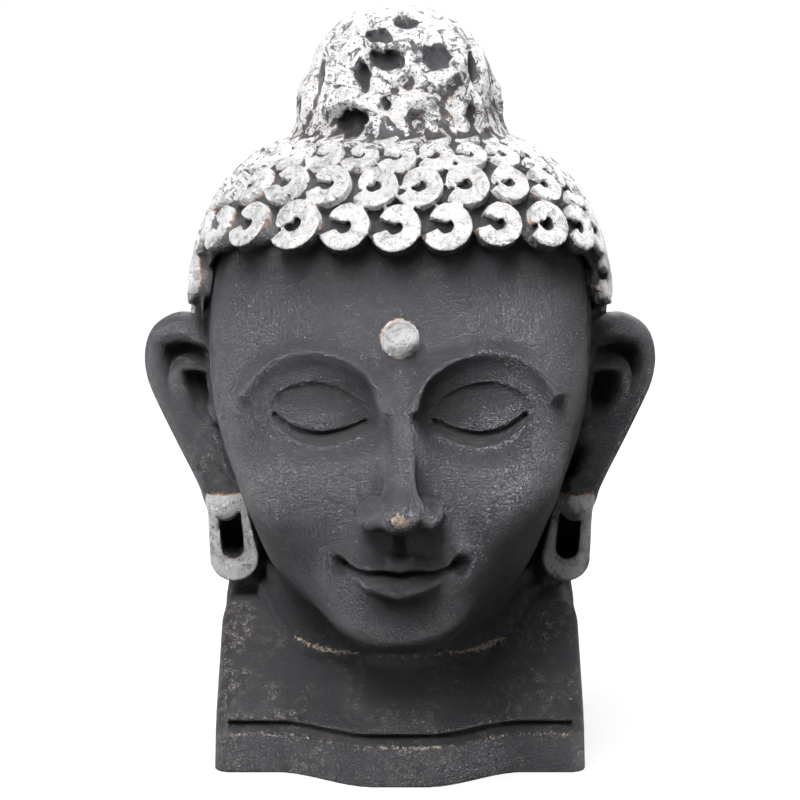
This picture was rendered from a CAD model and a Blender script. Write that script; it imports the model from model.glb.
import math

import bmesh
import bpy
import numpy as np
import openvdb
from mathutils import Matrix, Vector


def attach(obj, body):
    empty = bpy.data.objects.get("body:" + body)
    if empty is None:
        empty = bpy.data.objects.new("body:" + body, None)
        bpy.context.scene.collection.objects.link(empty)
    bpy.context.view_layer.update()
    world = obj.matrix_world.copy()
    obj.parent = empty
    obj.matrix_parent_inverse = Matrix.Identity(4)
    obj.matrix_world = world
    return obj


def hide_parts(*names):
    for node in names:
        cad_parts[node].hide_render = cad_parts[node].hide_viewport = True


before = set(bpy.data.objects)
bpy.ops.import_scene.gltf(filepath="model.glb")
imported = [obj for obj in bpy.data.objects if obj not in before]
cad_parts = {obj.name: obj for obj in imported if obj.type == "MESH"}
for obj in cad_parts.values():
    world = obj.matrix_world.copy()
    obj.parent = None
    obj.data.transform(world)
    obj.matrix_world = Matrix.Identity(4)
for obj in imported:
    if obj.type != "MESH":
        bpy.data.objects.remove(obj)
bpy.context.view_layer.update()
print("frame loaded")

# The casting is one form, given as a distance that is under zero inside the clay.
# Its sizes are in millimetres, and those of the head in hundredths of the head's height.

blockSizes = {
    "width": 198, "taper": 0.03, "back": 82, "front": 62, "swell": 25, "swellReach": 66, "swellFlat": 14,
    "hem": 33, "shoulder": 82, "shoulderLine": -18, "edgeRadius": 8.5,
    "band": 25, "bandStep": 2.5, "bandRounding": 3,
    "grooveDepth": 5, "grooveHalfWidth": 2.2, "grooveEnd": 8,
}
slabSizes = {"width": 192, "front": 16, "top": 128, "edgeRadius": 14}
neckSizes = {
    "halfWidth": 70, "halfDepth": 55, "centre": 6,
    "fold": 7.5, "foldStep": 4, "secondFold": 17, "secondFoldStep": 3, "rounding": 1.4,
}
headSizes = {"height": 260, "chin": 75, "tilt": 3, "forward": -2}
part = headSizes["height"] / 100

faceSizes = {
    "skull": dict(at=(0, 3, 61), radii=(39.4, 38.5, 37.6), power=2.6),
    "jaw": dict(at=(0, -9, 33), radii=(31, 29.5, 33), power=2.25),
    "cheek": dict(at=(18, -25.5, 35), radii=(11.5, 12, 12)),
    "chin": dict(at=(0, -29.6, 8), radii=(12, 9.4, 7.8)),
    "muzzle": dict(at=(0, -31, 20), radii=(14, 9.5, 9)),
    "underLip": dict(at=(0, -42.2, 11.6), radii=(7, 3, 2.2)),
    "eyeSocket": dict(at=(15.5, -39.4, 52), radii=(12.5, 5.6, 7.2)),
    "eyeball": dict(at=(15.5, -26.3, 49.6), radii=(9.8, 8.9, 7.8)),
    "noseTip": dict(at=(0, -45.4, 32.7), radii=(4.3, 4.5, 3.9)),
    "nostrilWing": dict(at=(5.1, -41.6, 31.6), radii=(3.3, 4.6, 3.4)),
    "nostril": dict(at=(2.8, -44.6, 28.5), radii=(1.3, 2.1, 1.2)),
    "mouthCorner": dict(at=(12, -37.6, 20.4), radii=(1.4, 1.6, 1.2)),
    "dot": dict(at=(0, -36.2, 65.2), radii=(3.5, 2.6, 3.5)),
    "noseRidge": ((0, -34.8, 60, 2.3), (0, -38.8, 50, 2.5), (0, -43, 40, 2.9), (0, -45.6, 33.6, 3.5)),
    "upperLip": ((10.2, -36.8, 19.9, 0.6), (6, -39.6, 20.8, 1.3), (2.3, -41.1, 21.8, 1.6),
        (0, -41.2, 21.1, 1.5)),
    "lowerLip": ((9, -37.4, 19.2, 0.7), (5.4, -39.6, 17.5, 1.9), (0, -40.8, 16.5, 2.5)),
}
faceLineSizes = {                              # height, half width and line
    "brow": (1.25, 1.5, ((2.6, 52.5), (5.2, 57.6), (10.4, 61.3), (16.8, 62.7), (23.4, 60.9), (28.6, 56.4),
        (31, 52.6))),
    "lidSlit": (-1.1, 0.6, ((6.6, 48.7), (10.4, 46.9), (15.5, 45.9), (20.6, 46.8), (24.6, 49.2))),
    "lidRim": (0.6, 0.8, ((7.4, 46.9), (10.4, 45.4), (15.5, 44.3), (20.6, 45.3), (24.2, 47.6))),
    "lidFold": (-0.5, 0.5, ((6.2, 50.6), (9.4, 53.4), (15.5, 55.6), (21.4, 54.6), (25.4, 51.2))),
    "mouth": (-1.1, 0.5, ((0, 19), (3, 19.5), (6.6, 19.2), (10.8, 20.3))),
    "philtrum": (-0.5, 1.1, ((0, 27.5), (0, 23.6))),
}

earSizes = {   # points are out along the ear, forward off it, height and radius
    "opening": 31, "rootX": 36.8, "rootY": 3,
    "rim": ((-1, 0.6, 57.4, 3), (8, 0.6, 58.9, 3.3), (12.2, 0.6, 58, 3.2), (15.5, 0.6, 55.8, 2.7),
            (17.1, 0.4, 51.6, 2.4), (16.3, 0.4, 47.4, 2.5), (13.7, 0.6, 43.2, 2.7), (8.3, 1.1, 35.6, 2.9),
            (3.6, 2, 29.8, 3), (0.2, 2.8, 25.4, 3.1)),
    "ridge": ((5, 0.2, 49.7), (8.8, 0.6, 51.1), (11, 0.6, 49.3), (10.9, 0.4, 45), (8.2, 0.6, 39),
        (4.6, 1.2, 33.4),
              (1.2, 2, 28.6)),
    "ridgeRadius": 2.1,
    "plate": ((-4, 56.6), (3, 57.6), (11.6, 56.6), (15.8, 52), (15.8, 47), (12.8, 42), (7.4, 34), (2, 27),
        (-2, 23),
              (-4, 23)),
    "plateThickness": 4.6, "plateBack": -2.8,
    "fill": dict(at=(4.4, -0.4, 38), radii=(4.2, 2.6, 7.5)),
    "hollow": dict(at=(5.6, 1.8, 45.8), radii=(3.8, 4.4, 4.2)),
    "flap": dict(at=(0.6, 1.6, 43.2), radii=(1.6, 2.2, 4)),
    "lobe": dict(at=(-2.3, 3.4, 23.4), radii=(3.5, 3.5, 4.3)),
}
loopSizes = {
    "foot": (34.8, 11.4), "top": (36.4, 24), "footRadius": 5.1, "topRadius": 3.9, "front": -3, "back": 8,
    "slotFoot": (35.1, 13.6), "slotTop": (36, 26), "slotFootRadius": 2.4, "slotTopRadius": 2.3,
        "slotFloor": 5.2,
    "rounding": 0.7,
    # the clay that ties a loop to the head and the slab
    "root": dict(at=(30, 8.5, 19.5), radii=(8, 5.5, 8.5)),
}

hairSizes = {
    "archHalfWidth": 39.6, "archFoot": 62, "archRise": 20, "sidePower": 5, "topPower": 3,
    "behind": 2, "nape": 26, "lift": 2, "edgeBack": 1.8,
}
knotSizes = {"at": (0, 9, 103.6), "radii": (19.6, 18.6, 22), "power": 2.4, "flare": 9}


def smoothStep(low, high, value):
    t = np.clip((value - low) / (high - low), 0, 1)
    return t * t * (3 - 2 * t)


def mix(a, b, share):
    return a + (b - a) * share


def join(a, b, fillet):
    h = np.maximum(fillet - np.abs(a - b), 0) / fillet
    return np.minimum(a, b) - h * h * fillet / 4


def carve(a, b, fillet):
    return -join(-a, b, fillet)


def length(*sides):
    return np.sqrt(sum(side * side for side in sides))


def ellipsoid(x, y, z, at, radii):
    px, py, pz = (x - at[0]) / radii[0], (y - at[1]) / radii[1], (z - at[2]) / radii[2]
    near = length(px, py, pz)
    slope = length(px / radii[0], py / radii[1], pz / radii[2])
    return near * (near - 1) / np.maximum(slope, 1e-6)


def superEgg(x, y, z, at, radii, power):
    px, py, pz = x - at[0], y - at[1], z - at[2]
    share = (np.abs(px / radii[0]) ** power + np.abs(py / radii[1]) ** power + np.abs(pz / radii[2]) ** power)
    share = np.maximum(share, 1e-4) ** (1 / power)
    return length(px, py, pz) * (1 - 1 / share)


def rods(x, y, z, points):
    nearest = np.full(np.shape(x), 1e3)
    for a, b in zip(points, points[1:]):
        run = [q - p for p, q in zip(a[:3], b[:3])]
        along = (x - a[0]) * run[0] + (y - a[1]) * run[1] + (z - a[2]) * run[2]
        t = np.clip(along / sum(side * side for side in run), 0, 1)
        gap = length(x - a[0] - run[0] * t, y - a[1] - run[1] * t, z - a[2] - run[2] * t)
        nearest = np.minimum(nearest, gap - mix(a[3], b[3], t))
    return nearest


def lineGap(u, v, points):
    nearest = np.full(np.shape(u), 1e3)
    for a, b in zip(points, points[1:]):
        run = (b[0] - a[0], b[1] - a[1])
        t = np.clip(((u - a[0]) * run[0] + (v - a[1]) * run[1]) / (run[0] ** 2 + run[1] ** 2), 0, 1)
        nearest = np.minimum(nearest, length(u - a[0] - run[0] * t, v - a[1] - run[1] * t))
    return nearest


def curveThrough(points, stretches=6):         # a smooth line through a few points
    ends = [2 * np.array(points[0]) - points[1], *map(np.array, points),
        2 * np.array(points[-1]) - points[-2]]
    curve = []
    for before, a, b, after in zip(ends, ends[1:], ends[2:], ends[3:]):
        for t in np.arange(stretches) / stretches:
            curve.append(tuple(0.5 * (2 * a + (b - before) * t + (2 * before - 5 * a + 4 * b - after) * t ** 2
                                      + (3 * a - before - 3 * b + after) * t ** 3)))
    return [*curve, tuple(points[-1])]


faceLines = [(height, halfWidth, curveThrough(line)) for height, halfWidth, line in faceLineSizes.values()]


def faceForms(d, s, y, z):
    sizes = faceSizes
    d = join(d, ellipsoid(s, y, z, **sizes["cheek"]), 9)
    d = join(d, ellipsoid(s, y, z, **sizes["chin"]), 11)
    d = join(d, ellipsoid(s, y, z, **sizes["muzzle"]), 6)
    d = carve(d, ellipsoid(s, y, z, **sizes["underLip"]), 3)
    d = carve(d, ellipsoid(s, y, z, **sizes["eyeSocket"]), 5)
    d = join(d, ellipsoid(s, y, z, **sizes["eyeball"]), 1.4)
    d = join(d, rods(s, y, z, sizes["noseRidge"]), 4)
    d = join(d, ellipsoid(s, y, z, **sizes["noseTip"]), 2.5)
    d = join(d, ellipsoid(s, y, z, **sizes["nostrilWing"]), 1.6)
    d = carve(d, ellipsoid(s, y, z, **sizes["nostril"]), 0.8)
    d = join(d, rods(s, y, z, sizes["upperLip"]), 1.2)
    d = join(d, rods(s, y, z, sizes["lowerLip"]), 1.4)
    d = carve(d, ellipsoid(s, y, z, **sizes["mouthCorner"]), 2)
    d = join(d, ellipsoid(s, y, z, **sizes["dot"]), 0.6)
    relief = sum(height * np.exp(-(lineGap(s, z, line) / halfWidth) ** 2)
        for height, halfWidth, line in faceLines)
    return d - np.where(np.abs(d) < 4, relief * smoothStep(-12, -22, y), 0)


def bareHead(x, y, z):
    s = np.abs(x)
    d = join(superEgg(s, y, z, **faceSizes["skull"]), superEgg(s, y, z, **faceSizes["jaw"]), 14)
    near = (y < -12) & (z < 78) & (np.abs(d) < 12)
    d[near] = faceForms(d[near], s[near], y[near], z[near])
    return d


def outlineGap(u, v, outline):
    inside = np.zeros(np.shape(u), bool)
    for a, b in zip(outline, outline[1:] + outline[:1]):
        crosses = (a[1] > v) != (b[1] > v)
        inside ^= crosses & (u < mix(a[0], b[0], (v - a[1]) / (b[1] - a[1] or 1)))
    gap = lineGap(u, v, outline + outline[:1])
    return np.where(inside, -gap, gap)


def ear(s, y, z):
    sizes = earSizes
    turn = math.radians(sizes["opening"])
    out, back = s - sizes["rootX"], y - sizes["rootY"]
    u = out * math.cos(turn) + back * math.sin(turn)
    w = out * math.sin(turn) - back * math.cos(turn)
    bounds = np.maximum(np.maximum(np.abs(u - 7) - 16, np.abs(w) - 11), np.abs(z - 42) - 28)
    d = bounds + 4
    near = bounds <= 0
    d[near] = earForms(u[near], w[near], z[near])
    return d


def earForms(u, w, z):
    sizes = earSizes
    d = np.maximum(outlineGap(u, z, sizes["plate"]),
        np.abs(w - sizes["plateBack"]) - sizes["plateThickness"] / 2)
    d = join(d, ellipsoid(u, w, z, **sizes["fill"]), 2)
    d = join(d, rods(u, w, z, earRidge), 1)
    d = carve(d, ellipsoid(u, w, z, **sizes["hollow"]), 1.8)
    d = join(d, rods(u, w, z, earRim), 1.2)
    d = join(d, ellipsoid(u, w, z, **sizes["flap"]), 1.5)
    return join(d, ellipsoid(u, w, z, **sizes["lobe"]), 3)


earRim = curveThrough(earSizes["rim"], 3)
earRidge = [(*point, earSizes["ridgeRadius"]) for point in curveThrough(earSizes["ridge"], 3)]


def flatRod(u, v, foot, top, footRadius, topRadius):
    run = (top[0] - foot[0], top[1] - foot[1])
    t = np.clip(((u - foot[0]) * run[0] + (v - foot[1]) * run[1]) / (run[0] ** 2 + run[1] ** 2), 0, 1)
    return length(u - foot[0] - run[0] * t, v - foot[1] - run[1] * t) - mix(footRadius, topRadius, t)


def earLoop(s, y, z):
    sizes = loopSizes
    ends = np.abs(y - (sizes["front"] + sizes["back"]) / 2) - (sizes["back"] - sizes["front"]) / 2
    side = flatRod(s, z, sizes["foot"], sizes["top"], sizes["footRadius"], sizes["topRadius"])
    a, b = side + sizes["rounding"], ends + sizes["rounding"]
    band = length(np.maximum(a, 0), np.maximum(b, 0)) + np.minimum(np.maximum(a, b), 0) - sizes["rounding"]
    slot = flatRod(s, z, sizes["slotFoot"], sizes["slotTop"], sizes["slotFootRadius"], sizes["slotTopRadius"])
    slotted = carve(band, np.maximum(slot, y - sizes["slotFloor"]), sizes["rounding"])
    return join(slotted, ellipsoid(s, y, z, **sizes["root"]), 2)


def headFrame(x, y, z):
    turn = math.radians(headSizes["tilt"])
    forward, up = y - headSizes["forward"], z - headSizes["chin"]
    return (x / part, (forward * math.cos(turn) + up * math.sin(turn)) / part,
            (up * math.cos(turn) - forward * math.sin(turn)) / part)


def fromHead(points):
    turn = math.radians(headSizes["tilt"])
    x, y, z = (np.asarray(points) * part).T
    return np.stack([x, headSizes["forward"] + y * math.cos(turn) - z * math.sin(turn),
                     headSizes["chin"] + y * math.sin(turn) + z * math.cos(turn)], axis=1)


def rounded(gaps, radius):
    raised = [gap + radius for gap in gaps]
    highest = raised[0]
    for gap in raised[1:]:
        highest = np.maximum(highest, gap)
    return length(*[np.maximum(gap, 0) for gap in raised]) + np.minimum(highest, 0) - radius


def hemLine(x):
    swell = smoothStep(blockSizes["swellReach"], blockSizes["swellFlat"], np.abs(x))
    return blockSizes["front"] + blockSizes["swell"] * swell


def chestTop(x, y):
    front = hemLine(x)
    climb = np.clip((y + front) / (front + blockSizes["shoulderLine"]), 0, 1)
    return mix(blockSizes["hem"], blockSizes["shoulder"], climb)


def block(x, y, z):
    sizes = blockSizes
    side = np.abs(x) - sizes["width"] / 2 + sizes["taper"] * z
    ends = 1 - smoothStep(0, 3, side + sizes["grooveEnd"])
    groove = ends * sizes["grooveDepth"] * np.exp(-((z - sizes["band"]) / sizes["grooveHalfWidth"]) ** 2)
    band = sizes["bandStep"] * smoothStep(sizes["band"] + sizes["bandRounding"] / 2,
        sizes["band"] - sizes["bandRounding"], z)
    slope = math.hypot(1, (sizes["shoulder"] - sizes["hem"]) / (sizes["front"] + sizes["shoulderLine"]))
    gaps = [side, y - sizes["back"], -y - hemLine(x) - band + groove,
            (z - chestTop(x, y)) / slope]
    return rounded(gaps, sizes["edgeRadius"])


def slab(x, y, z):
    sizes = slabSizes
    back = blockSizes["back"] - blockSizes["edgeRadius"] / 2
    return rounded([np.abs(x) - sizes["width"] / 2, sizes["front"] - y, y - back, z - sizes["top"]],
        sizes["edgeRadius"])


def neck(x, y, z):
    sizes = neckSizes
    over = z - chestTop(x, y)
    fold = (sizes["foldStep"] * smoothStep(sizes["fold"] + sizes["rounding"],
        sizes["fold"] - sizes["rounding"], over)
            + sizes["secondFoldStep"]
            * smoothStep(sizes["secondFold"] + sizes["rounding"], sizes["secondFold"] - sizes["rounding"],
                over))
    share = length(x / sizes["halfWidth"], (y - sizes["centre"]) / sizes["halfDepth"])
    side = (share - 1) * sizes["halfDepth"] - fold
    return np.maximum(side, z - headSizes["chin"] - 0.4 * headSizes["height"])


def bodyForm(x, y, z):                         # the head without its hair, the neck and the block
    underside = -z
    hx, hy, hz = headFrame(x, y, z)
    s = np.abs(hx)
    d = bareHead(hx, hy, hz)
    sides = (s > 20) & (hz < 70)
    withEar = join(d[sides], ear(s[sides], hy[sides], hz[sides]), 2)
    d[sides] = join(withEar, earLoop(s[sides], hy[sides], hz[sides]), 0.8)
    d *= part
    low = z < slabSizes["top"] + 30
    x, y, z = x[low], y[low], z[low]
    trunk = join(np.minimum(block(x, y, z), neck(x, y, z)), slab(x, y, z), 5)
    d[low] = join(d[low], trunk, 3)
    return np.maximum(d, underside)


def hairDepth(x, y, z):
    sizes = hairSizes
    share = np.clip(1 - (np.abs(x) / sizes["archHalfWidth"]) ** sizes["sidePower"], 0, 1)
    arch = z - (sizes["archFoot"] + sizes["archRise"] * share ** (1 / sizes["topPower"]))
    front = np.where(y < sizes["behind"], arch, np.maximum(arch, z - sizes["archFoot"]))
    return np.maximum(front, np.minimum(y - sizes["behind"], z - sizes["nape"]))


def hairBase(x, y, z):                         # the plain cap and top knot under the curls
    hx, hy, hz = headFrame(x, y, z)
    cap = join(superEgg(hx, hy, hz, **faceSizes["skull"]), superEgg(hx, hy, hz, **faceSizes["jaw"]), 14)
    cap = cap - hairSizes["lift"]
    cap = -join(-cap, hairDepth(hx, hy, hz) - hairSizes["edgeBack"], 1.2)
    knot = superEgg(hx, hy, hz, knotSizes["at"], knotSizes["radii"], knotSizes["power"])
    return join(cap, knot, knotSizes["flare"]) * part


def ripple(x, y, z, pitch):                    # an uneven swell between about -1 and 1
    a, b, c = x * 2 * math.pi / pitch, y * 2 * math.pi / pitch, z * 2 * math.pi / pitch
    first = np.sin(a + 1.7 * np.sin(0.63 * b + 0.4) + 0.5 * c) * np.cos(0.81 * b - 1.3 * np.sin(0.57 * c))
    second = np.sin(1.9 * c + 1.1 * np.sin(1.3 * a + 2)) * np.cos(1.7 * a - 0.9 * b + 1.2 * np.sin(0.8 * c + 1))
    return 0.6 * first + 0.4 * second


# Draws the surface of a form: a coarse lattice finds it, and a fine one is filled only near it.
def castSurface(form, low, high, step, name):
    coarse = 4
    counts = [int(math.ceil((b - a) / (step * coarse))) for a, b in zip(low, high)]
    centres = [a + step * coarse * (np.arange(n) + 0.5) - step / 2 for a, n in zip(low, counts)]
    grid = np.meshgrid(*centres, indexing="ij")
    rough = form(*[axis.ravel() for axis in grid]).reshape(counts)
    near = np.argwhere(np.abs(rough) < step * coarse * 1.25)
    fine = np.repeat(np.repeat(np.repeat(rough, coarse, 0), coarse, 1), coarse, 2).astype(np.float32)
    offsets = np.stack(np.meshgrid(*[np.arange(coarse)] * 3, indexing="ij"), -1).reshape(-1, 3)
    cells = (near[:, None, :] * coarse + offsets[None]).reshape(-1, 3)
    places = np.array(low) + cells * step
    fine[tuple(cells.T)] = form(*places.T)
    fine = np.clip(fine, -3 * step, 3 * step)
    for side in (0, -1):
        fine[side], fine[:, side], fine[:, :, side] = 3 * step, 3 * step, 3 * step
    volume = openvdb.FloatGrid(background=3 * step)
    volume.copyFromArray(np.ascontiguousarray(fine))
    points, quads = volume.convertToQuads()
    points = np.array(low) + points * step
    for _ in range(2):
        points = settled(points, form, step)
    print(name, "surface:", len(points), "points")
    return points, quads[:, ::-1]


def settled(points, form, step):
    probe = step / 8
    d = form(*points.T)
    slope = np.stack([form(*(points + probe * np.eye(3)[axis]).T) - d for axis in range(3)], 1) / probe
    move = np.clip(d / np.maximum((slope ** 2).sum(1), 0.3), -step / 2, step / 2)
    return points - slope * move[:, None]


# The top knot is a worn lump of half melted curls. Places on it are azimuth and elevation in degrees, seen
# from its middle, and radii are in millimetres. The front follows the photograph, and the same sort of thing
# fills the rest.
lumpSizes = {
    "hollows": ((-16, 51, 8, 5.5, 25), (-10, 37, 10, 5, 15), (27, 38, 8.5, 8, -30), (9, 61, 7, 4, 10),
                (-24, 27, 4, 8, -15), (-29, -1, 10, 8, -20), (-8, 12, 2.6, 3, 0), (53, 30, 3.5, 9, 20),
                (-57, 24, 3, 10, -12)),
    "hollowDepth": 4.4, "moreHollows": 12, "seed": 5,
    "strokes": (((-56, -9, 3), (-50, 3, 4.6), (-40, 11, 5.2), (-29, 14, 4.8), (-19, 9, 4.4),
        (-15, -1, 4.2), (-19, -10, 3.6)),
                ((-30, 31, 2), (-17, 44, 3), (0, 44, 3.2), (14, 50, 3), (20, 56, 2)),
                ((-40, 40, 2), (-30, 58, 3), (-8, 68, 2.6), (16, 66, 2)),
                ((14, 24, 2), (28, 25, 3), (42, 33, 3), (40, 48, 2.4)),
                ((-2, 26, 2), (5, 33, 3), (6, 44, 2.6))),
    "footCurls": ((9, 5, 12.5, 13), (42, 4, 11, 13)), "moreFootCurls": 8, "footCurlSize": 12,
        "footCurlBand": 4.4,
    "streaks": 17, "streakRadius": 2.6, "join": 4, "dents": 0.9, "dentPitch": 8,
}


def onEgg(egg, azimuth, elevation, tilt=0):    # a point on an egg's skin, and the way that the skin faces there
    a, e, turn = math.radians(azimuth), math.radians(elevation), math.radians(-tilt)
    way = Matrix.Rotation(turn, 3, "X") @ Vector((math.cos(e) * math.sin(a), -math.cos(e) * math.cos(a),
        math.sin(e)))
    power, radii = egg["power"], egg["radii"]
    reach = sum(abs(w / r) ** power for w, r in zip(way, radii)) ** (-1 / power)
    place = [w * reach for w in way]
    normal = Vector([math.copysign(abs(p / r) ** (power - 1) / r, p)
        for p, r in zip(place, radii)]).normalized()
    axis = Matrix.Rotation(turn, 3, "X") @ Vector((0, 0, 1))
    right = axis.cross(normal).normalized()
    return Vector(place) + Vector(egg["at"]), right, normal.cross(right), normal


def lumpParts():
    sizes, rng = lumpSizes, np.random.default_rng(lumpSizes["seed"])
    strokes = [[onEgg(knotSizes, a, e)[0][:] + (r / part,) for a, e, r in stroke]
        for stroke in sizes["strokes"]]
    footCurls = list(sizes["footCurls"])
    for i in range(sizes["moreFootCurls"]):
        size = sizes["footCurlSize"] * rng.uniform(0.88, 1.08)
        footCurls.append((75 + 225 * (i + 0.5) / sizes["moreFootCurls"], rng.uniform(1, 7), size, size))
    for azimuth, elevation, halfWidth, halfHeight in footCurls:
        place, right, up, normal = onEgg(knotSizes, azimuth, elevation)
        turns = np.radians(np.arange(0, 361, 40))
        band = sizes["footCurlBand"]
        strokes.append([(place + right * math.cos(t) * (halfWidth - band) / part + up * math.sin(t) * (halfHeight - band) / part
                         - normal * 0.2)[:] + (band / part,) for t in turns])
    for i in range(sizes["streaks"]):
        azimuth = 55 + 250 * (i + 0.5) / sizes["streaks"] + rng.uniform(-4, 4)
        lean = rng.uniform(6, 16) * (1 if azimuth < 180 else -1)
        inner, outer = onEgg(knotSizes, azimuth, -4)[0], onEgg(capEgg, azimuth + lean, rng.uniform(46, 52),
            12)[0]
        middle = (inner + outer) / 2 + Vector((0, 0, -3.2))
        radius = sizes["streakRadius"] / part
        strokes.append([inner[:] + (radius,), middle[:] + (radius,), outer[:] + (radius * 0.5,)])
    hollows = list(sizes["hollows"])
    for i in range(sizes["moreHollows"]):
        hollows.append((80 + 200 * ((i * 0.618) % 1), 22 + 44 * i / sizes["moreHollows"],
            *rng.uniform(3, 8, 2),
                        rng.uniform(-40, 40)))
    return strokes, [(onEgg(knotSizes, azimuth, elevation), *rest) for azimuth, elevation, *rest in hollows]


capEgg = dict(faceSizes["skull"], radii=[r + hairSizes["lift"] for r in faceSizes["skull"]["radii"]])
strokes, hollows = lumpParts()


def lump(d, x, y, z):                          # strokes laid on the plain form, and hollows sunk in it
    spot = np.stack([x, y, z], 1)
    for stroke in strokes:
        d = join(d, rods(x, y, z, stroke) * part, lumpSizes["join"])
    deepest = np.zeros(len(spot))
    ragged = 0.42 * ripple(*(spot * part).T, 8.5) + 0.24 * ripple(*(spot * part + 40).T, 3.4)
    for (place, right, up, normal), halfWidth, halfHeight, lean in hollows:
        away = (spot - np.array(place)) * part
        turn = math.radians(lean)
        a, b = away @ np.array(right), away @ np.array(up)
        a, b = a * math.cos(turn) - b * math.sin(turn), a * math.sin(turn) + b * math.cos(turn)
        share = length(a / halfWidth, b / halfHeight) + ragged
        deepest = np.maximum(deepest, smoothStep(1.1, 0.7, share) * (away @ np.array(normal) > -20))
    worn = lumpSizes["dents"] * ripple(*(spot * part).T, lumpSizes["dentPitch"])
    return d + lumpSizes["hollowDepth"] * deepest + worn


def hairForm(x, y, z):
    d = hairBase(x, y, z)
    hx, hy, hz = headFrame(x, y, z)
    near = (np.abs(d) < 16) & (hz > 84)
    d[near] = lump(d[near], hx[near], hy[near], hz[near])
    return d


# The curls: rings round an axis that leans back through the top knot, as in the casting's own pattern.
ringSizes = {
    "pitch": 11.6, "first": 23, "tilt": 12, "above": 4, "below": 6, "curlPitch": 8.6,
    "overlapAlong": 0.96, "overlapAcross": 1.08, "keptDepth": 0.75, "earGap": 2,
}
curlSizes = {                                  # in shares of a curl's half width
    "radius": 0.6, "lean": -5, "ribbonWidth": 0.82, "plateau": 0.5, "ribbonDepth": 0.7,
    "padLow": -0.55, "padHigh": 0.1, "padRadius": 0.98, "woundShare": 0.25, "unevenness": 0.06, "seed": 4,
    "sideSilver": 2.2,                         # how much lower the silver reaches on the curls at the sides
}
curlShapes = {                                 # along the curl: how far out it lies, and how wide it is
    "open": dict(start=-168, turns=0.878, out=((0, 0.8), (0.06, 0.79), (0.15, 0.72), (0.25, 0.59),
        (0.39, 0.5),
                                               (0.53, 0.48), (0.67, 0.51), (0.82, 0.57), (0.93, 0.54),
                                               (1, 0.5)),
                 width=((0, 0.3), (0.06, 0.46), (0.15, 0.68), (0.25, 0.82), (0.39, 0.9), (0.53, 0.9),
                 (0.67, 0.76),
                        (0.82, 0.58), (0.93, 0.6), (1, 0.46))),
    "wound": dict(start=-160, turns=0.93, out=((0, 0.8), (0.1, 0.72), (0.25, 0.6), (0.45, 0.56), (0.65, 0.58),
                                               (0.8, 0.58), (0.92, 0.52), (1, 0.44)),
                  width=((0, 0.34), (0.1, 0.58), (0.25, 0.74), (0.45, 0.74), (0.65, 0.6), (0.8, 0.5),
                  (0.92, 0.42),
                         (1, 0.4))),
}


def curlPlaces():
    sizes = ringSizes
    girth = 2 * math.pi * faceSizes["skull"]["radii"][0]
    columns = round(girth * math.cos(math.radians(sizes["first"])) / sizes["curlPitch"])
    halfHeight = faceSizes["skull"]["radii"][0] * math.radians(sizes["pitch"]) / 2 * sizes["overlapAcross"]
    places = []
    for ring in range(sizes["above"] - 1, -sizes["below"] - 1, -1):
        elevation = sizes["first"] + ring * sizes["pitch"]
        count = columns if ring >= 0 else round(girth * math.cos(math.radians(elevation)) / sizes["curlPitch"])
        halfWidth = girth * math.cos(math.radians(elevation)) / count / 2 * sizes["overlapAlong"]
        for i in range(count):
            place, right, up, normal = onEgg(capEgg, (i + ring % 2 / 2) / count * 360, elevation,
                sizes["tilt"])
            depth = hairDepth(*[np.array([value]) for value in place])[0]
            beside = place.z < hairSizes["archFoot"] and place.y < earSizes["rootY"] + sizes["earGap"] + halfWidth
            if ring >= 0 or depth > sizes["keptDepth"] * halfHeight and not beside:
                places.append((place, right, up, normal, halfWidth, halfHeight))
    return places


# Turns points of the head, in hundredths of its height, into places on the model, in metres.
underside = np.array([v.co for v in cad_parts["cast_head"].data.vertices if v.co.z < 1e-4])
shift = np.array([underside[:, 0].min() + underside[:, 0].max(), 2 * underside[:, 1].max(), 0]) / 2
shift[1] -= blockSizes["back"] / 1000


def toModel(points):
    return np.asarray(points) / 1000 + shift


def toForm(points):
    return (np.asarray(points) - shift) * 1000


def newObject(name, mesh):
    thing = bpy.data.objects.new(name, mesh)
    bpy.context.scene.collection.objects.link(thing)
    return thing


def newMesh(name, points, faces):
    mesh = bpy.data.meshes.new(name)
    mesh.from_pydata(points.tolist(), [], faces.tolist())
    mesh.update()
    return mesh


def facesOut(points, quads):
    a, b, c, d = [points[quads[:, i]] for i in range(4)]
    volume = np.einsum("ij,ij->i", a, np.cross(b, c)).sum() + np.einsum("ij,ij->i", a, np.cross(c, d)).sum()
    return quads if volume > 0 else quads[:, ::-1]


def pointsOf(mesh):
    flat = np.empty(len(mesh.vertices) * 3)
    mesh.vertices.foreach_get("co", flat)
    return flat.reshape(-1, 3)


def ridges(mesh, rounds):                      # over zero on an edge and under it in a hollow, in millimetres
    places = pointsOf(mesh)
    normals = np.empty(len(mesh.vertices) * 3)
    mesh.vertices.foreach_get("normal", normals)
    ends = np.empty(len(mesh.edges) * 2, int)
    mesh.edges.foreach_get("vertices", ends)
    a, b = ends.reshape(-1, 2).T
    count = np.bincount(a, minlength=len(places)) + np.bincount(b, minlength=len(places))
    smooth = places
    for _ in range(rounds):
        total = np.stack([np.bincount(a, smooth[b, i], len(places)) + np.bincount(b, smooth[a, i],
            len(places))
                          for i in range(3)], 1)
        smooth = (smooth + total / np.maximum(count, 1)[:, None]) / 2
    return np.einsum("ij,ij->i", places - smooth, normals.reshape(-1, 3)) * 1000


def setAttribute(mesh, name, values):
    mesh.attributes.new(name, "FLOAT", "POINT").data.foreach_set("value", np.asarray(values, np.float32))


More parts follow.
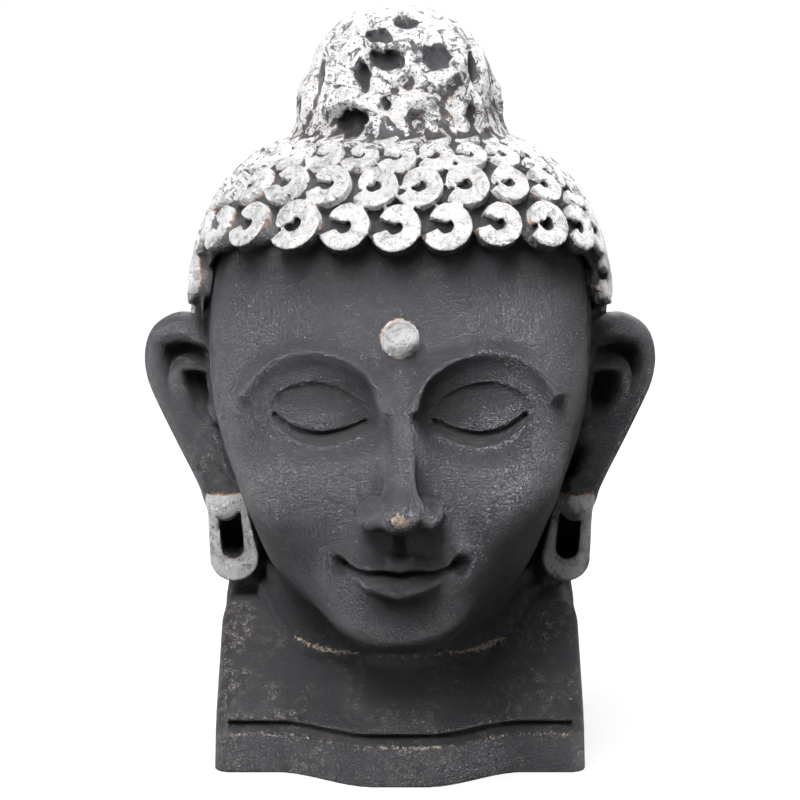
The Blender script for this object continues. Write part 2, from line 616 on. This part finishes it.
def plainMesh(thing, name):                    # what the modifiers make of it, with none left on it
    evaluated = thing.evaluated_get(bpy.context.evaluated_depsgraph_get())
    mesh = bpy.data.meshes.new_from_object(evaluated)
    mesh.name = name
    thing.modifiers.clear()
    old, thing.data = thing.data, mesh
    bpy.data.meshes.remove(old)
    return mesh


def thinned(thing, kept, name):
    thing.data.calc_loop_triangles()
    share = kept / len(thing.data.loop_triangles)
    if share < 1:
        thing.modifiers.new("thin", "DECIMATE").ratio = share
    mesh = plainMesh(thing, name)
    mesh.shade_smooth()
    print(name, "faces:", len(mesh.polygons))
    return mesh


def inputSocket(tree, name, kind, value):
    socket = tree.interface.new_socket(name, in_out="INPUT", socket_type=kind)
    if value is not None:
        socket.default_value = value
    return socket


def addNode(tree, kind, links=(), **values):
    node = tree.nodes.new(kind)
    for key, value in values.items():
        setattr(node, key, value)
    for socket, source in dict(links).items():
        target = node.inputs[socket]
        if hasattr(source, "is_output"):
            tree.links.new(source, target)
        else:
            target.default_value = source
    return node


def shareCurve(tree, share, stops):            # a value that follows a smooth curve through its stops
    node = addNode(tree, "ShaderNodeFloatCurve", {"Value": share})
    points = node.mapping.curves[0].points
    points[0].location, points[1].location = stops[0], stops[-1]
    for stop in stops[1:-1]:
        points.new(*stop)
    node.mapping.update()
    return node.outputs[0]


def ribbonCurl(tree, given, shape, along):   # one flat topped curl: a strip laid round and sunk to its depth
    spiral = addNode(tree, "GeometryNodeCurveSpiral", {
        "Resolution": 30, "Rotations": shape["turns"], "Start Radius": given["radius"],
        "End Radius": given["radius"], "Height": 0.0, "Reverse": True})
    twice = addNode(tree, "ShaderNodeMath", {0: shareCurve(tree, along, shape["out"]), 1: 2.0},
        operation="MULTIPLY")
    place = addNode(tree, "GeometryNodeInputPosition")
    wound = addNode(tree, "ShaderNodeVectorMath", {0: place.outputs[0], "Scale": twice.outputs[0]},
        operation="SCALE")
    laid = addNode(tree, "GeometryNodeSetPosition",
        {"Geometry": spiral.outputs[0], "Position": wound.outputs[0]})
    level = addNode(tree, "ShaderNodeCombineXYZ", {"Z": given["plateau"]})
    turned = addNode(tree, "GeometryNodeTransform", {
        "Geometry": laid.outputs[0], "Translation": level.outputs[0],
            "Rotation": (0, 0, math.radians(shape["start"]))})
    tapered = addNode(tree, "GeometryNodeSetCurveRadius", {
        "Curve": turned.outputs[0], "Radius": shareCurve(tree, along, shape["width"])})
    upright = addNode(tree, "GeometryNodeSetCurveNormal", {"Curve": tapered.outputs[0]}, mode="Z_UP")
    halfWidth = addNode(tree, "ShaderNodeMath", {0: given["ribbonWidth"], 1: 0.5}, operation="MULTIPLY")
    right = addNode(tree, "ShaderNodeCombineXYZ", {"X": halfWidth.outputs[0]})
    left = addNode(tree, "ShaderNodeVectorMath", {0: right.outputs[0], "Scale": -1.0}, operation="SCALE")
    across = addNode(tree, "GeometryNodeCurvePrimitiveLine",
        {"Start": left.outputs[0], "End": right.outputs[0]})
    strip = addNode(tree, "GeometryNodeCurveToMesh",
        {"Curve": upright.outputs[0], "Profile Curve": across.outputs[0]})
    down = addNode(tree, "ShaderNodeCombineXYZ", {"Z": -1.0})
    sunk = addNode(tree, "GeometryNodeExtrudeMesh", {
        "Mesh": strip.outputs[0], "Offset": down.outputs[0], "Offset Scale": given["ribbonDepth"],
            "Individual": False})
    lid = addNode(tree, "GeometryNodeFlipFaces", {"Mesh": strip.outputs[0]})
    both = addNode(tree, "GeometryNodeJoinGeometry")
    tree.links.new(sunk.outputs[0], both.inputs[0])
    tree.links.new(lid.outputs[0], both.inputs[0])
    closed = addNode(tree, "GeometryNodeMergeByDistance", {"Geometry": both.outputs[0], "Distance": 0.001})
    return closed.outputs[0]


def snailCurlTree():
    sizes = curlSizes
    tree = bpy.data.node_groups.new("snailCurls", "GeometryNodeTree")
    tree.interface.new_socket("Geometry", in_out="INPUT", socket_type="NodeSocketGeometry")
    for name in ("radius", "ribbonWidth", "plateau", "ribbonDepth", "padLow", "padHigh", "padRadius",
                 "woundShare", "unevenness"):
        inputSocket(tree, name, "NodeSocketFloat", sizes[name])
    inputSocket(tree, "lean", "NodeSocketFloat", math.radians(sizes["lean"]))
    inputSocket(tree, "seed", "NodeSocketInt", sizes["seed"])
    inputSocket(tree, "material", "NodeSocketMaterial", None)
    tree.interface.new_socket("Geometry", in_out="OUTPUT", socket_type="NodeSocketGeometry")
    given = addNode(tree, "NodeGroupInput").outputs
    along = addNode(tree, "GeometryNodeSplineParameter").outputs["Factor"]

    padDepth = addNode(tree, "ShaderNodeMath", {0: given["padHigh"], 1: given["padLow"]},
    operation="SUBTRACT")
    pad = addNode(tree, "GeometryNodeMeshCylinder", {
        "Vertices": 20, "Radius": given["padRadius"], "Depth": padDepth.outputs[0]})
    padEnds = addNode(tree, "ShaderNodeMath", {0: given["padHigh"], 1: given["padLow"]}, operation="ADD")
    padMiddle = addNode(tree, "ShaderNodeMath", {0: padEnds.outputs[0], 1: 0.5}, operation="MULTIPLY")
    padPlace = addNode(tree, "ShaderNodeCombineXYZ", {"Z": padMiddle.outputs[0]})
    flatPad = addNode(tree, "GeometryNodeTransform",
        {"Geometry": pad.outputs[0], "Translation": padPlace.outputs[0]})
    leanTurn = addNode(tree, "ShaderNodeCombineXYZ", {"Y": given["lean"]})
    kinds = addNode(tree, "GeometryNodeJoinGeometry")
    for shape in reversed(curlShapes.values()):   # the link made last comes first
        oneCurl = addNode(tree, "GeometryNodeJoinGeometry")
        tree.links.new(ribbonCurl(tree, given, shape, along), oneCurl.inputs[0])
        tree.links.new(flatPad.outputs[0], oneCurl.inputs[0])
        leaning = addNode(tree, "GeometryNodeTransform",
            {"Geometry": oneCurl.outputs[0], "Rotation": leanTurn.outputs[0]})
        kind = addNode(tree, "GeometryNodeGeometryToInstance", {"Geometry": leaning.outputs[0]})
        tree.links.new(kind.outputs[0], kinds.inputs[0])

    facing = addNode(tree, "GeometryNodeInputNamedAttribute", {"Name": "facing"}, data_type="QUATERNION")
    size = addNode(tree, "GeometryNodeInputNamedAttribute", {"Name": "size"}, data_type="FLOAT_VECTOR")
    wobble = addNode(tree, "FunctionNodeRandomValue", {"Seed": given["seed"]}, data_type="FLOAT")
    amount = addNode(tree, "ShaderNodeMath", {0: given["unevenness"], 1: 3.0}, operation="MULTIPLY")
    least = addNode(tree, "ShaderNodeMath", {0: amount.outputs[0], 1: -1.0}, operation="MULTIPLY")
    tree.links.new(least.outputs[0], wobble.inputs[2])
    tree.links.new(amount.outputs[0], wobble.inputs[3])
    twist = addNode(tree, "ShaderNodeCombineXYZ", {"Z": wobble.outputs[1]})
    twisted = addNode(tree, "FunctionNodeRotateRotation", {
        "Rotation": facing.outputs["Attribute"], "Rotate By": twist.outputs[0]}, rotation_space="LOCAL")
    grow = addNode(tree, "FunctionNodeRandomValue", {"Seed": given["seed"]}, data_type="FLOAT")
    lowest = addNode(tree, "ShaderNodeMath", {0: 1.0, 1: given["unevenness"]}, operation="SUBTRACT")
    highest = addNode(tree, "ShaderNodeMath", {0: 1.0, 1: given["unevenness"]}, operation="ADD")
    tree.links.new(lowest.outputs[0], grow.inputs[2])
    tree.links.new(highest.outputs[0], grow.inputs[3])
    grown = addNode(tree, "ShaderNodeVectorMath", {0: size.outputs["Attribute"], "Scale": grow.outputs[1]},
                    operation="SCALE")
    choice = addNode(tree, "FunctionNodeRandomValue",
        {"Probability": given["woundShare"], "Seed": given["seed"]},
                     data_type="BOOLEAN")
    placed = addNode(tree, "GeometryNodeInstanceOnPoints", {
        "Points": given["Geometry"], "Instance": kinds.outputs[0], "Pick Instance": True,
        "Instance Index": choice.outputs[3], "Rotation": twisted.outputs[0], "Scale": grown.outputs[0]})
    real = addNode(tree, "GeometryNodeRealizeInstances", {"Geometry": placed.outputs[0]})
    painted = addNode(tree, "GeometryNodeSetMaterial",
        {"Geometry": real.outputs[0], "Material": given["material"]})
    result = addNode(tree, "NodeGroupOutput")
    tree.links.new(painted.outputs[0], result.inputs[0])
    return tree


def setInput(modifier, tree, name, value):
    for item in tree.interface.items_tree:
        if item.item_type == "SOCKET" and item.in_out == "INPUT" and item.name == name:
            modifier[item.identifier] = value


def makeCurls(places, material):
    points = newMesh("curlPlaces", toModel(fromHead([p[0] for p in places])), np.zeros((0, 4), int))
    turns, sizes = [], []
    tilt = Matrix.Rotation(math.radians(headSizes["tilt"]), 3, "X")
    for _, right, up, normal, halfWidth, halfHeight in places:
        turn = (tilt @ Matrix((right, up, normal)).transposed()).to_quaternion()
        turns.extend(turn)
        sizes.extend([halfWidth * part / 1000, halfHeight * part / 1000,
            (halfWidth + halfHeight) / 2 * part / 1000])
    points.attributes.new("facing", "QUATERNION", "POINT").data.foreach_set("value", turns)
    points.attributes.new("size", "FLOAT_VECTOR", "POINT").data.foreach_set("vector", sizes)
    thing = newObject("curls", points)
    tree = snailCurlTree()
    modifier = thing.modifiers.new("curls", "NODES")
    modifier.node_group = tree
    setInput(modifier, tree, "material", material)
    plainMesh(thing, "curls")
    print("curls:", len(places), "with", len(thing.data.polygons), "faces")
    return thing


def fuse(things, voxel, smoothing, name):      # one closed skin round several closed ones
    both = bmesh.new()
    for thing in things:
        both.from_mesh(thing.data)
        bpy.data.objects.remove(thing)
    mesh = bpy.data.meshes.new(name)
    both.to_mesh(mesh)
    both.free()
    whole = newObject(name, mesh)
    remesh = whole.modifiers.new("fuse", "REMESH")
    remesh.mode, remesh.voxel_size = "VOXEL", voxel
    smooth = whole.modifiers.new("soften", "SMOOTH")
    smooth.factor, smooth.iterations = 0.5, smoothing
    plainMesh(whole, name)
    return whole


meshSizes = {
    "bodyStep": 1.4, "hairStep": 2.0, "voxel": 0.0011, "softening": 2, "bodyFaces": 190000,
        "hairFaces": 195000,
}


def makeBody():
    low, high = (-142, -145, -8), (142, 116, 340)
    points, quads = castSurface(bodyForm, low, high, meshSizes["bodyStep"], "body")
    body = newObject("head_and_block", newMesh("head_and_block", toModel(points), facesOut(points, quads)))
    mesh = thinned(body, meshSizes["bodyFaces"], "head_and_block")
    places = toForm(pointsOf(mesh))
    setAttribute(mesh, "silver", bodySilver(*places.T))
    setAttribute(mesh, "edge", bodyEdge(places))
    setAttribute(mesh, "knocks", knocks(*places.T))
    setAttribute(mesh, "pitting", np.full(len(places), 0.3))
    return body


def outstanding(places, reach):                # over zero on an edge, and under it in a hollow
    total = 0
    for axis in np.eye(3):
        total = total + bodyForm(*(places + reach * axis).T) + bodyForm(*(places - reach * axis).T)
    return total / 6 / reach


def bodyEdge(places):                          # the carving of the head is worn less than the block's own edges
    hx, hy, hz = headFrame(*places.T)
    carved = (hz > -2) & (np.abs(hx) < 34)
    return outstanding(places, 3.5) * np.where(carved, 0.55, 1.9) * smoothStep(-2, 10, places[:, 2])


def bodySilver(x, y, z):                       # the dot and the fronts of the ear loops
    hx, hy, hz = headFrame(x, y, z)
    s = np.abs(hx)
    dot = smoothStep(0.5, 0.1, ellipsoid(s, hy, hz, **faceSizes["dot"])) * (hy < -30)
    side = flatRod(s, hz, loopSizes["foot"], loopSizes["top"], loopSizes["footRadius"],
        loopSizes["topRadius"])
    front = smoothStep(loopSizes["front"] + 0.9, loopSizes["front"] + 0.4, hy) * smoothStep(0.5, 0.3, side)
    return np.maximum(dot, front * smoothStep(26.4, 24.4, hz) * (hy > -12))


def knocks(x, y, z):                           # how battered each region is
    chest = smoothStep(100, 70, z) * smoothStep(60, 0, y) * mix(0.45, 0.9, smoothStep(15, 75, np.abs(x)))
    cheek = smoothStep(60, 95, np.abs(x)) * smoothStep(220, 120, z) * 0.5
    return np.clip(0.25 + chest + cheek, 0, 1)


def makeHair(material):
    low, high = (-125, -125, 120), (125, 130, 408)
    points, quads = castSurface(hairForm, low, high, meshSizes["hairStep"], "hair")
    base = newObject("hair", newMesh("hair", toModel(points), facesOut(points, quads)))
    curlsAt = curlPlaces()
    curls = makeCurls(curlsAt, material)
    hair = fuse([base, curls], meshSizes["voxel"], meshSizes["softening"], "hair_and_knot")
    mesh = thinned(hair, meshSizes["hairFaces"], "hair_and_knot")
    places = toForm(pointsOf(mesh))
    silver, onKnot = hairSilver(places, curlsAt)
    setAttribute(mesh, "silver", silver)
    setAttribute(mesh, "edge", ridges(mesh, 24))
    setAttribute(mesh, "pitting", mix(0.35, 1, onKnot))
    return hair


def overTops(points, curlsAt):   # how far each point stands over the flat top of its nearest curl
    lean = math.radians(curlSizes["lean"])
    centres = fromHead([c[0] for c in curlsAt])
    ways = fromHead([c[0] + c[3] * math.cos(lean) + c[1] * math.sin(lean) for c in curlsAt]) - centres
    sizes = np.array([(c[4] + c[5]) / 2 * part for c in curlsAt])
    over = []
    for some in np.array_split(points, 40):
        away = some[:, None] - centres
        nearest = (length(*np.moveaxis(away, 2, 0)) / sizes).argmin(1)
        height = (away[np.arange(len(some)), nearest] * ways[nearest]).sum(1) / part
        beside = smoothStep(0.7, 0.95, np.abs(ways[nearest, 0]) / part)
        over.append(height - sizes[nearest] * curlSizes["plateau"] + curlSizes["sideSilver"] * beside)
    return np.concatenate(over)


def hairSilver(points, curlsAt):
    x, y, z = points.T
    hx, hy, hz = headFrame(x, y, z)
    proud = hairBase(x, y, z)
    onKnot = smoothStep(2.5, -0.5, superEgg(hx, hy, hz,
        **{k: knotSizes[k] for k in ("at", "radii", "power")}))
    onKnot = np.maximum(onKnot, smoothStep(97, 100, hz)) * smoothStep(86, 90, hz)
    turn = np.degrees(np.arctan2(np.abs(hx), knotSizes["at"][1] - hy))
    flank = smoothStep(38, 62, turn) * smoothStep(85, 90, hz)
    under = smoothStep(102, 98, hz) * (1 - flank)
    level = mix(mix(4.0, -1.3, np.maximum(onKnot, flank * 0.8)), 2.0, under)
    width = mix(0.7, 2.0, onKnot)
    lumpSilver = smoothStep(-1, 1, (proud - level) / width)
    curlSilver = smoothStep(-1.5, -0.4, overTops(points, curlsAt))
    return mix(curlSilver, lumpSilver, smoothStep(84, 90, hz)), np.maximum(onKnot, flank)


# Finishes. Each group puts out masks and heights that change over the surface.
def newGroup(name, inputs, outputs):
    group = bpy.data.node_groups.new(name, "ShaderNodeTree")
    for label, value in inputs.items():
        inputSocket(group, label, "NodeSocketFloat", value)
    for label in outputs:
        group.interface.new_socket(label, in_out="OUTPUT", socket_type="NodeSocketFloat")
    return group, addNode(group, "NodeGroupInput").outputs, addNode(group, "NodeGroupOutput")


def scaledPlace(tree, scale):
    place = addNode(tree, "ShaderNodeTexCoord")
    return addNode(tree, "ShaderNodeVectorMath", {0: place.outputs["Object"], "Scale": scale},
        operation="SCALE")


def noise(tree, place, scale, detail, roughness=0.6, distortion=0.0):
    node = addNode(tree, "ShaderNodeTexNoise", {"Vector": place, "Scale": scale, "Detail": detail,
                                                "Roughness": roughness, "Distortion": distortion})
    return node.outputs["Fac"]


def maths(tree, operation, *values):
    return addNode(tree, "ShaderNodeMath", dict(enumerate(values)), operation=operation).outputs[0]


def band(tree, value, low, high):              # 0 below low, 1 above high
    return addNode(tree, "ShaderNodeMapRange", {"Value": value, "From Min": low, "From Max": high}).outputs[0]


def paintGrainGroup():                         # wrinkled paint with sand under it
    group, given, result = newGroup("paintGrain", {"Scale": 1.0, "Wrinkle": 1.0, "Pits": 0.3},
        ["Height", "Mottle"])
    place = scaledPlace(group, given["Scale"]).outputs[0]
    wrinkle = noise(group, place, 560.0, 3.0, 0.6, 1.6)
    fold = maths(group, "ABSOLUTE", maths(group, "SUBTRACT", wrinkle, 0.5))
    lines = band(group, fold, 0.1, 0.0)
    fine = noise(group, place, 1300.0, 2.0, 0.6)
    sand = maths(group, "MULTIPLY", fine, given["Pits"])
    raised = maths(group, "MULTIPLY", lines, given["Wrinkle"])
    patch = band(group, noise(group, place, 45.0, 2.0), 0.3, 0.65)
    worked = maths(group, "MULTIPLY", raised, maths(group, "MULTIPLY_ADD", patch, 0.45, 0.55))
    group.links.new(maths(group, "ADD", worked, sand), result.inputs["Height"])
    group.links.new(noise(group, place, 22.0, 5.0), result.inputs["Mottle"])
    return group


def wearGroup():   # bare spots on edges, and hair lines where the ground is battered
    group, given, result = newGroup("wear", {"Edge": 0.0, "Knocks": 0.0, "Amount": 1.0, "Scale": 1.0},
                                    ["Worn", "Scratched"])
    place = scaledPlace(group, given["Scale"]).outputs[0]
    fine = noise(group, place, 520.0, 4.0, 0.7, 0.6)
    broad = noise(group, place, 48.0, 3.0)
    edge = band(group, given["Edge"], 0.12, 0.75)
    ragged = maths(group, "MULTIPLY_ADD", edge, 0.33, maths(group, "MULTIPLY", broad, 0.2))
    total = maths(group, "MULTIPLY", maths(group, "ADD", fine, ragged), given["Amount"])
    group.links.new(band(group, total, 0.86, 0.95), result.inputs["Worn"])
    hairs = maths(group, "ABSOLUTE", maths(group, "SUBTRACT", noise(group, place, 300.0, 2.5, 0.6, 2.6), 0.5))
    lines = band(group, hairs, 0.022, 0.006)
    broken = band(group, noise(group, place, 240.0, 2.0), 0.46, 0.56)
    ground = maths(group, "MULTIPLY", band(group, broad, 0.42, 0.66), given["Knocks"])
    there = maths(group, "ADD", ground, maths(group, "MULTIPLY", edge, 0.6))
    scratched = maths(group, "MULTIPLY", maths(group, "MULTIPLY", lines, broken), there)
    clipped = maths(group, "MINIMUM", scratched, 1.0)
    group.links.new(clipped, result.inputs["Scratched"])
    return group


def silverGroup():   # where the silver lies, its pits and streaks, and its brown rim
    group, given, result = newGroup("silverCoat", {"Cover": 0.0, "Edge": 0.0, "Pitting": 0.5, "Scale": 1.0},
                                    ["Silver", "Rim", "Streak"])
    place = scaledPlace(group, given["Scale"]).outputs[0]
    ragged = noise(group, place, 300.0, 4.0, 0.65)
    shifted = maths(group, "SUBTRACT", ragged, 0.5)
    hollow = maths(group, "MULTIPLY", band(group, given["Edge"], -0.05, -0.55), 0.8)
    cover = maths(group, "SUBTRACT", given["Cover"], hollow)
    uneven = maths(group, "MULTIPLY_ADD", shifted, 0.7, cover)
    covered = band(group, uneven, 0.44, 0.56)
    edging = maths(group, "MULTIPLY", band(group, uneven, 0.16, 0.4), band(group, uneven, 0.64, 0.5))
    here = band(group, noise(group, place, 70.0, 2.0), 0.4, 0.52)
    onCurls = maths(group, "MULTIPLY_ADD", given["Pitting"], -1.2, 1.45)
    rim = maths(group, "MULTIPLY", maths(group, "MULTIPLY", edging, here), onCurls)
    pits = noise(group, place, 760.0, 2.0, 0.5, 0.4)
    low = maths(group, "MULTIPLY_ADD", given["Pitting"], 0.08, 0.3)
    smallPits = maths(group, "LESS_THAN", pits, low)
    smear = noise(group, place, 120.0, 6.0, 0.75, 1.2)
    bound = maths(group, "MULTIPLY_ADD", given["Pitting"], -0.19, 0.71)
    smeared = addNode(group, "ShaderNodeMapRange", {
        "Value": smear, "From Min": bound, "From Max": maths(group, "ADD", bound, 0.05)}).outputs[0]
    bare = maths(group, "MINIMUM", maths(group, "ADD", smallPits, smeared), 1.0)
    silver = maths(group, "MULTIPLY", covered, maths(group, "SUBTRACT", 1.0, bare))
    group.links.new(silver, result.inputs["Silver"])
    group.links.new(rim, result.inputs["Rim"])
    group.links.new(smear, result.inputs["Streak"])
    return group


finishSizes = {
    "black": (0.006, 0.006, 0.007, 1), "dustyBlack": (0.016, 0.0155, 0.018, 1),
    "clay": (0.5, 0.38, 0.26, 1), "scratch": (0.62, 0.53, 0.42, 1), "sheen": (0.93, 0.92, 1.0, 1),
    "silver": (0.54, 0.535, 0.525, 1), "greySilver": (0.195, 0.195, 0.2, 1), "rim": (0.4, 0.2, 0.08, 1),
    "gloss": 1.0, "dust": 0.02, "dustRoughness": 0.4, "blackRoughness": 0.38, "silverRoughness": 0.36,
        "silverMetal": 0.5,
    "grainDepth": 0.0042, "silverDepth": 0.0004,
}


def mixColour(tree, share, a, b):
    node = addNode(tree, "ShaderNodeMix", data_type="RGBA")
    factor, first, second = node.inputs[0], node.inputs[6], node.inputs[7]
    for socket, source in ((factor, share), (first, a), (second, b)):
        if hasattr(source, "is_output"):
            tree.links.new(source, socket)
        else:
            socket.default_value = source
    return node.outputs[2]


def mixValue(tree, share, a, b):
    return addNode(tree, "ShaderNodeMapRange", {"Value": share, "To Min": a, "To Max": b}).outputs[0]


def attribute(tree, name):
    return addNode(tree, "ShaderNodeAttribute", attribute_name=name).outputs["Fac"]


def useGroup(tree, group, links):
    node = addNode(tree, "ShaderNodeGroup", node_tree=group)
    for socket, source in links.items():
        if hasattr(source, "is_output"):
            tree.links.new(source, node.inputs[socket])
        else:
            node.inputs[socket].default_value = source
    return node.outputs


def newMaterial(name):
    material = bpy.data.materials.new(name)
    material.use_nodes = True
    tree = material.node_tree
    return material, tree, tree.nodes["Principled BSDF"]


def paintMaterial(name, groups, wornAmount, scale):
    grain, wear, coat = groups
    sizes = finishSizes
    material, tree, shader = newMaterial(name)
    edge = attribute(tree, "edge")
    grained = useGroup(tree, grain, {"Scale": scale, "Wrinkle": 1.0, "Pits": 0.5})
    silvered = useGroup(tree, coat, {"Cover": attribute(tree, "silver"), "Edge": edge,
                                     "Pitting": attribute(tree, "pitting"), "Scale": scale})
    worn = useGroup(tree, wear, {"Edge": edge, "Knocks": attribute(tree, "knocks"), "Amount": wornAmount,
        "Scale": scale})
    black = mixColour(tree, grained["Mottle"], sizes["black"], sizes["dustyBlack"])
    scratched = mixColour(tree, worn["Scratched"], black, sizes["scratch"])
    bare = mixColour(tree, worn["Worn"], scratched, sizes["clay"])
    rimmed = mixColour(tree, silvered["Rim"], bare, sizes["rim"])
    bright = mixColour(tree, band(tree, silvered["Streak"], 0.64, 0.5), sizes["greySilver"], sizes["silver"])
    colour = mixColour(tree, silvered["Silver"], rimmed, bright)
    tree.links.new(colour, shader.inputs["Base Color"])
    tree.links.new(maths(tree, "MULTIPLY", silvered["Silver"], sizes["silverMetal"]),
        shader.inputs["Metallic"])
    rough = mixValue(tree, silvered["Silver"], sizes["blackRoughness"], sizes["silverRoughness"])
    tree.links.new(mixValue(tree, worn["Worn"], rough, 0.75), shader.inputs["Roughness"])
    shader.inputs["Specular IOR Level"].default_value = sizes["gloss"]
    shader.inputs["Specular Tint"].default_value = sizes["sheen"]
    shader.inputs["Sheen Weight"].default_value = sizes["dust"]
    shader.inputs["Sheen Roughness"].default_value = sizes["dustRoughness"]
    bump = addNode(tree, "ShaderNodeBump", {"Height": grained["Height"], "Distance": sizes["grainDepth"],
                                            "Strength": 1.0})
    step = addNode(tree, "ShaderNodeBump", {"Height": silvered["Silver"], "Distance": sizes["silverDepth"],
                                            "Strength": 0.7, "Normal": bump.outputs[0]})
    tree.links.new(step.outputs[0], shader.inputs["Normal"])
    return material


studioSizes = {
    "elevation": 10, "distance": 1.4, "lens": 117, "aimHeight": 0.1925, "worldLight": 0.06, "floorTone": 0.06,
    "floorReach": 60.0, "floorGlow": 0.8, "glowReach": 0.45,
    "lights": {
        "overhead": dict(at=(-0.22, -0.12, 1.5), size=1.1, power=85),
        "key": dict(at=(-0.42, -0.8, 1.45), size=0.9, power=75),
        "left": dict(at=(-1.6, -0.2, 0.8), size=0.7, power=8),
        "right": dict(at=(1.6, -0.2, 0.8), size=0.7, power=7),
        "back": dict(at=(0.2, 1.1, 1.0), size=1.2, power=20),
    },
}


def aimed(thing, target):
    thing.rotation_euler = (Vector(target) - thing.location).to_track_quat("-Z", "Y").to_euler()


def makeCamera():
    sizes = studioSizes
    camera = bpy.data.objects.new("camera", bpy.data.cameras.new("camera"))
    bpy.context.scene.collection.objects.link(camera)
    angle = math.radians(sizes["elevation"])
    target = Vector((0, 0, sizes["aimHeight"]))
    camera.location = target + sizes["distance"] * Vector((0, -math.cos(angle), math.sin(angle)))
    camera.data.lens = sizes["lens"]
    camera.data.clip_end = 50
    aimed(camera, target)
    bpy.context.scene.camera = camera


def makeStudio():
    sizes = studioSizes
    for name, lamp in sizes["lights"].items():
        light = bpy.data.lights.new(name, "AREA")
        light.size, light.energy = lamp["size"], lamp["power"]
        at = lamp["at"]
        lamp = bpy.data.objects.new(name, light)
        bpy.context.scene.collection.objects.link(lamp)
        lamp.location = at
        aimed(lamp, (0, 0, 0.2))
    world = bpy.data.worlds.new("studio")
    world.use_nodes = True
    tree = world.node_tree
    background = tree.nodes["Background"]
    seen = addNode(tree, "ShaderNodeLightPath")
    strength = addNode(tree, "ShaderNodeMapRange", {"Value": seen.outputs["Is Camera Ray"],
                                                    "To Min": sizes["worldLight"], "To Max": 1.0})
    background.inputs["Color"].default_value = (1, 1, 1, 1)
    tree.links.new(strength.outputs[0], background.inputs["Strength"])
    bpy.context.scene.world = world
    bpy.context.scene.view_settings.view_transform = "Standard"
    far = sizes["floorReach"]
    floor = newObject("floor", newMesh("floor", np.array([[-far, -far, 0], [far, -far, 0], [far, far, 0],
        [-far, far, 0]]),
                                       np.array([[0, 1, 2, 3]])))
    material, tree, shader = newMaterial("paleFloor")
    shader.inputs["Base Color"].default_value = (*[sizes["floorTone"]] * 3, 1)
    shader.inputs["Roughness"].default_value = 0.9
    shader.inputs["Specular IOR Level"].default_value = 0.0
    shader.inputs["Emission Color"].default_value = (1, 1, 1, 1)
    seen = addNode(tree, "ShaderNodeLightPath")
    away = addNode(tree, "ShaderNodeVectorMath", {0: scaledPlace(tree, 1.0).outputs[0]}, operation="LENGTH")
    pale = addNode(tree, "ShaderNodeMapRange", {
        "Value": away.outputs["Value"], "From Max": sizes["glowReach"], "To Min": sizes["floorGlow"]})
    glow = maths(tree, "MULTIPLY", seen.outputs["Is Camera Ray"], pale.outputs[0])
    tree.links.new(glow, shader.inputs["Emission Strength"])
    floor.data.materials.append(material)


def setMaterial(piece, material):
    piece.data.materials.clear()
    piece.data.materials.append(material)
    piece.data.polygons.foreach_set("material_index", [0] * len(piece.data.polygons))


makeCamera()
groups = (paintGrainGroup(), wearGroup(), silverGroup())
blackClay = paintMaterial("blackPaintedClay", groups, 1.0, 1.0)
silverCurls = paintMaterial("silveredCurls", groups, 0.8, 1.0)
print("finishes made")

body = makeBody()
hair = makeHair(silverCurls)
setMaterial(body, blackClay)
setMaterial(hair, silverCurls)
for piece in (body, hair):
    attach(piece, "root")
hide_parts("cast_head")
makeStudio()

print("sizes written")
